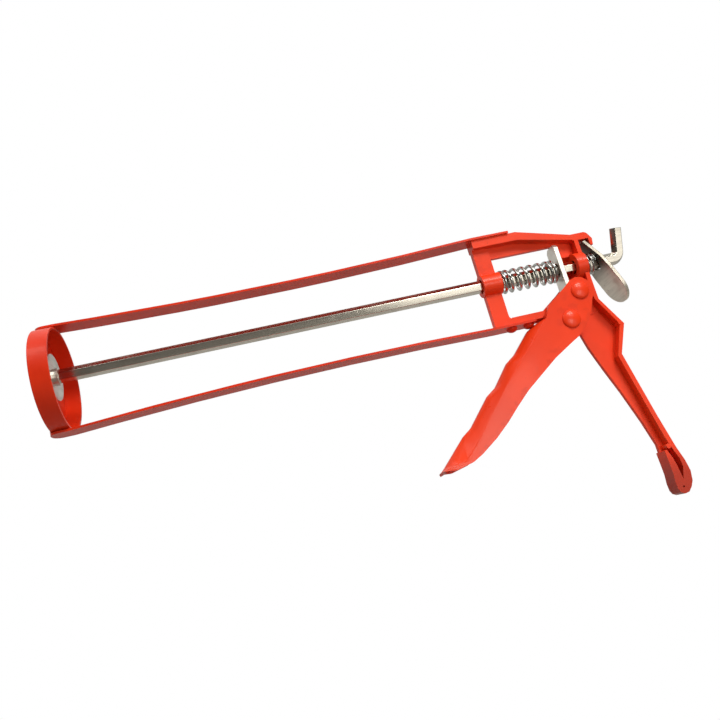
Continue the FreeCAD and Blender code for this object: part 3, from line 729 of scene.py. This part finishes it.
@dataclass
class PressedTrigger:
    """The squeeze trigger: sheet steel pressed into a channel, with three finger grooves and a flared tip.

    Its lines are pairs of (X, Z) in millimetres from the pivot's centre.

    Attributes:
        finishes: The gun's finishes.
        half: Half the channel's width over its walls.
        sheet: The thickness of the steel.
        bend_depth: How far the bend from wall to web reaches across the channel.
        wall_rows: Faces across each flat wall.
        across: Faces across each bend.
        web_rows: Faces across the web.
        shape: The side from wall to web, as shares of the way out to the web and of the bend's depth.
        steps: Faces along the channel.
        head: A rivet head's outline, as heights above the wall and shares of its radius.
        shank: The rivets' radius between the walls.
        front: The web's silhouette, tip first.
        bend: Where the flat wall starts to curve into the web, tip first.
        rear: The wall's free edge, tip first.
        lobe: The wall's outline above the web, from the top of the bend line round to the free edge.
    """

    finishes: Finishes
    half: float = 7.75
    sheet: float = 1.4
    bend_depth: float = 6.4
    wall_rows: int = 3
    across: int = 9
    web_rows: int = 4
    shape: Pairs = (
        (0.0, 0.0), (0.06, 0.02), (0.20, 0.14), (0.36, 0.28), (0.52, 0.42), (0.68, 0.57), (0.82, 0.73),
        (0.92, 0.87), (0.98, 0.96), (1.0, 1.0),
    )
    steps: int = 110
    head: Pairs = ((0.0, 1.0), (0.55, 1.0), (1.05, 0.93), (1.45, 0.72), (1.72, 0.45))
    shank: float = 2.4
    front: Pairs = (
        (-91.2, -62.6), (-88.9, -60.6), (-75.0, -47.4), (-69.5, -43.8), (-56.2, -29.6), (-50.3, -25.8),
        (-40.5, -14.6), (-34.6, -10.7), (-23.6, 0.3), (-18.6, 2.9),
    )
    bend: Pairs = (
        (-91.0, -62.9), (-84.4, -61.0), (-78.2, -60.6), (-68.2, -50.9), (-56.7, -38.5), (-44.8, -25.8),
        (-35.1, -16.8), (-28.8, -11.4), (-15.7, 1.9), (-13.6, 3.7),
    )
    rear: Pairs = (
        (-90.8, -63.2), (-84.4, -63.9), (-75.1, -61.9), (-69.4, -59.1), (-59.7, -52.9), (-51.3, -46.3),
        (-43.7, -39.4), (-35.5, -32.5), (-15.7, -19.0), (-3.7, -12.5),
    )
    lobe: Pairs = (
        (-10.3, 10.1), (-1.1, 16.4), (2.8, 19.0), (6.6, 22.0), (10.1, 23.1), (13.6, 22.2), (16.6, 19.6),
        (17.9, 15.6), (17.2, 11.4), (15.4, 8.7), (14.2, 5.3), (9.8, -2.1), (5.9, -6.5), (1.1, -10.1),
    )

    def build(self) -> list[bpy.types.Object]:
        """Makes the channel and its two big rivets."""
        made = [self._channel()]
        for node in ("pivot_rivet", "drive_rivet"):
            made.append(self._rivet(node))
        return made

    @staticmethod
    def _along(line: Pairs, share: float) -> Vector:
        """A point at a share of a line's point count, so that lines with like points keep step."""
        spot = share * (len(line) - 1)
        index = min(int(spot), len(line) - 2)
        start, end = Vector(line[index]), Vector(line[index + 1])
        return start.lerp(end, spot - index)

    def _channel(self) -> bpy.types.Object:
        """Lays a grid over the pressing, gives it its thickness and rounds its rims."""
        pivot = centre_of("pivot_rivet")
        mesh = bmesh.new()
        curved = self.wall_rows + self.across
        rows = 2 * curved + self.web_rows
        bmesh.ops.create_grid(mesh, x_segments=self.steps, y_segments=rows, size=1.0)
        mesh.verts.ensure_lookup_table()
        for vert in mesh.verts:
            share = (vert.co.x + 1) / 2
            row = round((vert.co.y + 1) / 2 * rows)
            side = -1.0 if row <= rows // 2 else 1.0
            step = row if side < 0 else rows - row
            front, bend, rear = (self._along(line, share) for line in (self.front, self.bend, self.rear))
            if step <= self.wall_rows:
                spot, depth = rear.lerp(bend, step / self.wall_rows), 0.0
            elif step <= curved:
                out, deep = self.shape[step - self.wall_rows]
                spot = bend.lerp(front, out)
                depth = self.bend_depth * deep
            else:
                spot = front
                left = (step - curved) / (self.web_rows / 2)
                depth = self.bend_depth + (self.half - self.bend_depth) * left
            vert.co = Vector((pivot.x + spot.x, side * (self.half - depth), pivot.z + spot.y))
        self._add_lobes(mesh, pivot)
        bmesh.ops.remove_doubles(mesh, verts=mesh.verts, dist=2e-3)
        bmesh.ops.recalc_face_normals(mesh, faces=mesh.faces)
        self._turn_outwards(mesh)
        bmesh.ops.solidify(mesh, geom=mesh.faces[:], thickness=self.sheet)
        bmesh.ops.recalc_face_normals(mesh, faces=mesh.faces)
        rims = [e for e in mesh.edges if crease_angle(e) > math.radians(60)]
        round_edges(mesh, 0.3, 2, sharper=60.0, chosen=rims)
        return Piece(
            "trigger_pressing", mesh, Body.TRIGGER, Slot.RED_CASTING, self.finishes.trigger_lacquer,
            ("trigger",), Shading.SOFT,
        ).place()

    def _add_lobes(self, mesh: bmesh.types.BMesh, pivot: Vector) -> None:
        """Closes each wall's upper end with the lobe that carries the drive rivet."""
        for side in (-1.0, 1.0):
            wall = [
                v for v in mesh.verts
                if abs(v.co.y - side * self.half) < 1e-3 and v.is_boundary
                and any(
                    (Vector((v.co.x - pivot.x, v.co.z - pivot.z)) - self._top_of_wall(row)).length < 1e-2
                    for row in range(self.wall_rows + 1)
                )
            ]
            wall.sort(key=lambda v: v.co.z)
            rim = [mesh.verts.new((pivot.x + x, side * self.half, pivot.z + z)) for x, z in self.lobe]
            mesh.faces.new(wall + rim)

    def _top_of_wall(self, row: int) -> Vector:
        """Where a row of the wall ends at the top, counted from the free edge to the bend."""
        return Vector(self.rear[-1]).lerp(Vector(self.bend[-1]), row / self.wall_rows)

    @staticmethod
    def _turn_outwards(mesh: bmesh.types.BMesh) -> None:
        """Makes an open shell's faces look away from its middle plane."""
        score = sum(
            f.normal.y * (1 if f.calc_center_median().y > 0 else -1) * f.calc_area() for f in mesh.faces
        )
        if score < 0:
            bmesh.ops.reverse_faces(mesh, faces=mesh.faces[:])

    def _rivet(self, node: str) -> bpy.types.Object:
        """A big rivet with a low pressed dome on each side of the channel."""
        low, high = limits_of(node)
        centre = (low + high) / 2
        radius = (high.x - low.x) / 2
        reach = high.y - centre.y
        wall = self.half
        head = [(wall + height, radius * share) for height, share in self.head]
        head += [(reach - 0.08, radius * 0.18), (reach, 0.0)]
        stem = [(-wall, self.shank), (wall, self.shank)]
        profile = [(-along, r) for along, r in reversed(head)] + stem + head
        mesh = turned(profile, centre, Vector((0, 1, 0)), 56)
        return Piece(
            node + "_headed", mesh, Body.TRIGGER, Slot.RED_CASTING, self.finishes.trigger_lacquer, (node,),
            Shading.SOFT,
        ).place()


@dataclass
class RodGroup:
    """The push rod with its hook, and the dished push plate on its front end.

    Attributes:
        finishes: The gun's finishes.
        rod_edge: The width of the rod's softened corners.
    """

    finishes: Finishes
    rod_edge: float = 0.22

    def build(self) -> list[bpy.types.Object]:
        """Makes the rod and the push plate, and dresses the small rings."""
        mesh = copy_of_node("push_rod")
        round_edges(mesh, self.rod_edge, 2, sharper=35.0)
        rod = Piece(
            "push_rod_drawn", mesh, Body.ROD, Slot.ROD_STEEL, self.finishes.rod_steel, ("push_rod",)
        ).place()
        for node in ("push_plate_collar", "push_plate_nut"):
            dress(node, self.finishes.zinc)
        return [rod, self._push_plate()]

    def _push_plate(self) -> bpy.types.Object:
        """The push plate, dished round its middle and turned back at the rim."""
        low, high = limits_of("push_plate")
        radius = (high.z - low.z) / 2
        deep = high.x - low.x
        front = [(0.0, 3.2), (0.0, radius - 3.4), (0.25, radius - 1.3), (0.9, radius - 0.25), (1.5, radius)]
        back = [(deep, radius), (deep, radius - 0.9), (1.65, radius - 1.6), (1.2, radius - 3.6), (1.2, 3.2)]
        start = Vector((low.x, 0.0, (low.z + high.z) / 2))
        mesh = turned(front + back, start, Vector((1, 0, 0)), 96, closed=True)
        return Piece(
            "push_plate_dished", mesh, Body.ROD, Slot.ZINC_PLATE, self.finishes.zinc, ("push_plate",),
            Shading.SOFT,
        ).place()


def dress(node: str, material: bpy.types.Material) -> None:
    """Gives a CAD node that keeps its own shape a finish.

    Args:
        node: The CAD node's name.
        material: Its finish.
    """
    for slot in frame["nodes"][node].material_slots:
        slot.material = material
    log.info("%s keeps its shape and takes %s", node, material.name)


@dataclass
class GripPlates:
    """The drive plate and the thumb release plate, both stamped."""

    finishes: Finishes

    def build(self) -> list[bpy.types.Object]:
        """Makes both plates."""
        drive = copy_of_node("drive_plate")
        round_edges(drive, 0.35, 3, sharper=50.0)
        release = copy_of_node("release_plate")
        round_edges(release, 0.3, 3, sharper=50.0)
        return [
            Piece(
                "drive_plate_stamped", drive, Body.DRIVE, Slot.ZINC_PLATE, self.finishes.bright_zinc,
                ("drive_plate",),
            ).place(),
            Piece(
                "release_plate_stamped", release, Body.RELEASE, Slot.ZINC_PLATE, self.finishes.thumb_steel,
                ("release_plate",),
            ).place(),
        ]


@dataclass
class Coil:
    """A round-wire spring about the rod, wound in runs of even pitch.

    Attributes:
        finishes: The gun's finishes.
        node: The CAD node that it stands for.
        wire: The wire's diameter.
        runs: Pairs of (turns, share of the free length) from the front end.
        joint: The joint that shortens it; not used.
        keep: The share of its length left at the joint's limit; not used.
        steps: Faces along one turn.
        lean: How much the coils close up towards the top, per millimetre of height.
        below: How far under the coil's centre the leaning starts.
    """

    finishes: Finishes
    node: str
    wire: float
    runs: Pairs
    joint: str
    keep: float
    steps: int = 30
    lean: float = 0.0
    below: float = 6.2

    def build(self) -> bpy.types.Object:
        """Winds the wire and leans its coils if they follow a sloping plate."""
        low, high = limits_of(self.node)
        axis = Vector((1, 0, 0))
        centre = Vector((low.x + self.wire / 2, 0.0, (low.z + high.z) / 2))
        radius = (high.y - low.y) / 2 - self.wire / 2
        free = high.x - low.x - self.wire
        mesh = bmesh.new()
        ring = bmesh.ops.create_circle(
            mesh, cap_ends=True, radius=self.wire / 2, segments=12,
            matrix=Matrix.Translation(centre + Vector((0, 0, radius))) @ Matrix.Rotation(math.pi / 2, 4, "X"),
        )
        geometry = list({f for v in ring["verts"] for f in v.link_faces})
        for turns, share in self.runs:
            steps = max(1, round(turns * self.steps))
            wound = bmesh.ops.spin(
                mesh, geom=geometry, cent=centre, axis=axis, dvec=axis * (free * share / steps),
                angle=turns * 2 * math.pi, steps=steps, use_merge=False, use_duplicate=False,
            )
            geometry = [item for item in wound["geom_last"] if isinstance(item, bmesh.types.BMFace)]
        bmesh.ops.remove_doubles(mesh, verts=mesh.verts, dist=1e-4)
        bmesh.ops.recalc_face_normals(mesh, faces=mesh.faces)
        if self.lean:
            self._lean(mesh, low.x, high.x, centre.z)
        piece = Piece(
            self.node + "_wound", mesh, Body.FRAME, Slot.SPRING_STEEL, self.finishes.spring_steel,
            (self.node,), Shading.SOFT,
        ).place()
        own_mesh(piece)
        return piece

    def _lean(self, mesh: bmesh.types.BMesh, front: float, back: float, level: float) -> None:
        """Closes the coils up towards the top, in step with the sloping plate behind them."""
        for vert in mesh.verts:
            share = (vert.co.x - front) / (back - front)
            vert.co.x -= share * self.lean * max(0.0, vert.co.z - level + self.below)


@dataclass
class Studio:
    """Pale floor, white surround, soft lights and the camera.

    Attributes:
        lens: The camera's focal length in millimetres, for a sensor 36 mm wide.
        eye: Where the camera stands, in metres.
        right: The direction to the right of the picture.
        up: The direction to the top of the picture.
        back: The direction from the gun to the camera.
        floor_level: The floor's height, in metres.
        lights: Each light's name, place, target, side, power and share in reflections.
        tint: The lights' warm colour.
    """

    lens: float = 36.377
    eye: Triple = (0.1010, -0.3716, -0.1180)
    right: Triple = (0.9651, -0.0887, -0.2465)
    up: Triple = (0.2147, -0.2713, 0.9382)
    back: Triple = (-0.1501, -0.9584, -0.2428)
    floor_level: float = -0.30
    lights: tuple[tuple[str, Triple, Triple, float, float, float], ...] = (
        ("key", (0.62, -0.78, 0.70), (0.22, 0.0, -0.03), 0.40, 8.2, 0.6),
        ("wide", (-0.45, -0.55, 0.85), (0.05, 0.0, 0.0), 0.50, 3.0, 0.3),
        ("card", (0.62, -0.80, -0.20), (0.24, 0.0, 0.0), 0.50, 1.1, 1.0),
        ("fill", (0.45, -0.90, -0.02), (0.26, 0.0, -0.02), 0.30, 2.0, 0.0),
        ("top", (0.15, 0.15, 1.00), (0.15, 0.0, 0.0), 0.70, 2.5, 1.0),
    )
    tint: Triple = (1.0, 0.95, 0.86)

    def build(self) -> None:
        """Sets up everything round the gun."""
        self._camera()
        self._surround()
        self._floor()
        for name, spot, target, side, power, shine in self.lights:
            self._light(name, Vector(spot), Vector(target), side, power, shine)

    def _camera(self) -> None:
        """The viewpoint low beside the gun, looking slightly up."""
        data = bpy.data.cameras.new("camera")
        data.lens = self.lens
        data.sensor_width = 36.0
        camera = bpy.data.objects.new("camera", data)
        columns = zip(self.right, self.up, self.back)
        turn = Matrix([list(row) for row in columns]).to_4x4()
        camera.matrix_world = Matrix.Translation(self.eye) @ turn
        bpy.context.scene.collection.objects.link(camera)
        bpy.context.scene.camera = camera

    def _surround(self) -> None:
        """A white surround to look at, and a softer graded one that lights the gun."""
        world = bpy.data.worlds.new("studio")
        world.use_nodes = True
        bpy.context.scene.world = world
        kit = NodeKit(world.node_tree)
        world.node_tree.nodes.clear()
        place = kit.add("ShaderNodeTexCoord").outputs["Generated"]
        parts = kit.add("ShaderNodeSeparateXYZ")
        kit.join(place, parts.inputs[0])
        height = kit.ramp(parts.outputs["Z"], 0.10, 0.75)
        behind = kit.ramp(parts.outputs["Y"], -0.10, 0.50)
        sky = kit.mix(height, (0.10, 0.10, 0.09), (0.85, 0.83, 0.79))
        graded = kit.mix(behind, sky, (1.0, 0.97, 0.92))
        lit = kit.add("ShaderNodeBackground")
        lit.inputs["Strength"].default_value = 0.6
        kit.join(graded, lit.inputs["Color"])
        seen = kit.add("ShaderNodeBackground")
        seen.inputs["Color"].default_value = (1.0, 1.0, 1.0, 1.0)
        seen.inputs["Strength"].default_value = 1.0
        out = kit.add("ShaderNodeOutputWorld")
        kit.join(kit.split_for_camera(lit.outputs[0], seen.outputs[0]), out.inputs["Surface"])
        bpy.context.scene.view_settings.view_transform = "Standard"

    def _floor(self) -> None:
        """A wide pale floor well below the gun."""
        mesh = bmesh.new()
        bmesh.ops.create_grid(mesh, x_segments=1, y_segments=1, size=12.0)
        bmesh.ops.translate(mesh, vec=(0, 0, self.floor_level), verts=mesh.verts)
        data = bpy.data.meshes.new("floor")
        mesh.to_mesh(data)
        mesh.free()
        material = bpy.data.materials.new("pale floor")
        material.use_nodes = True
        kit = NodeKit(material.node_tree)
        shader = material.node_tree.nodes["Principled BSDF"]
        place = kit.add("ShaderNodeTexCoord").outputs["Object"]
        parts = kit.add("ShaderNodeSeparateXYZ")
        kit.join(place, parts.inputs[0])
        behind = kit.ramp(parts.outputs["Y"], -0.25, 0.45)
        kit.join(kit.mix(behind, (0.17, 0.16, 0.15), (0.62, 0.61, 0.60)), shader.inputs["Base Color"])
        shader.inputs["Roughness"].default_value = 0.9
        pale = kit.add("ShaderNodeEmission")
        pale.inputs["Color"].default_value = (1.0, 1.0, 1.0, 1.0)
        pale.inputs["Strength"].default_value = 1.0
        surface = material.node_tree.nodes["Material Output"].inputs["Surface"]
        kit.join(kit.split_for_camera(shader.outputs["BSDF"], pale.outputs[0]), surface)
        data.materials.append(material)
        floor = bpy.data.objects.new("floor", data)
        bpy.context.scene.collection.objects.link(floor)

    def _light(
        self, name: str, spot: Vector, target: Vector, side: float, power: float, shine: float
    ) -> None:
        """A square soft light that looks at a point.

        Args:
            name: The light's name.
            spot: Where it stands, in metres.
            target: What it looks at, in metres.
            side: The length of its side, in metres.
            power: Its power in watts.
            shine: How much of it shows in reflections, from 0 to 1.
        """
        data = bpy.data.lights.new(name, "AREA")
        data.color = self.tint
        data.specular_factor = shine
        data.size = side
        data.energy = power
        light = bpy.data.objects.new(name, data)
        turn = (target - spot).to_track_quat("-Z", "Y").to_matrix().to_4x4()
        light.matrix_world = Matrix.Translation(spot) @ turn
        bpy.context.scene.collection.objects.link(light)


def kept_share() -> float:
    """The share of the main spring's length that is left when the drive plate is fully forward."""
    travel = next(j for j in frame["joints"] if j["name"] == "drive_travel")["range_m"][1]
    low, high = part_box("main_spring")
    return 1 - travel / (high[0] - low[0])


def main() -> None:
    """Builds every sub-assembly, then the studio."""
    logging.basicConfig(level=logging.INFO, format="%(message)s")
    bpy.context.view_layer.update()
    finishes = Finishes()
    CartridgeFrame(finishes).build()
    Handle(finishes).build()
    PressedTrigger(finishes).build()
    dress("drive_sleeve", finishes.zinc)
    RodGroup(finishes).build()
    GripPlates(finishes).build()
    Coil(finishes, "main_spring", MAIN_WIRE, MAIN_RUNS, "drive_travel", kept_share()).build()
    Coil(
        finishes, "release_spring", RELEASE_WIRE, RELEASE_RUNS, "release_press", RELEASE_KEPT, lean=0.03
    ).build()
    Studio().build()
    log.info("sizes written")


if __name__ == "__main__":
    main()
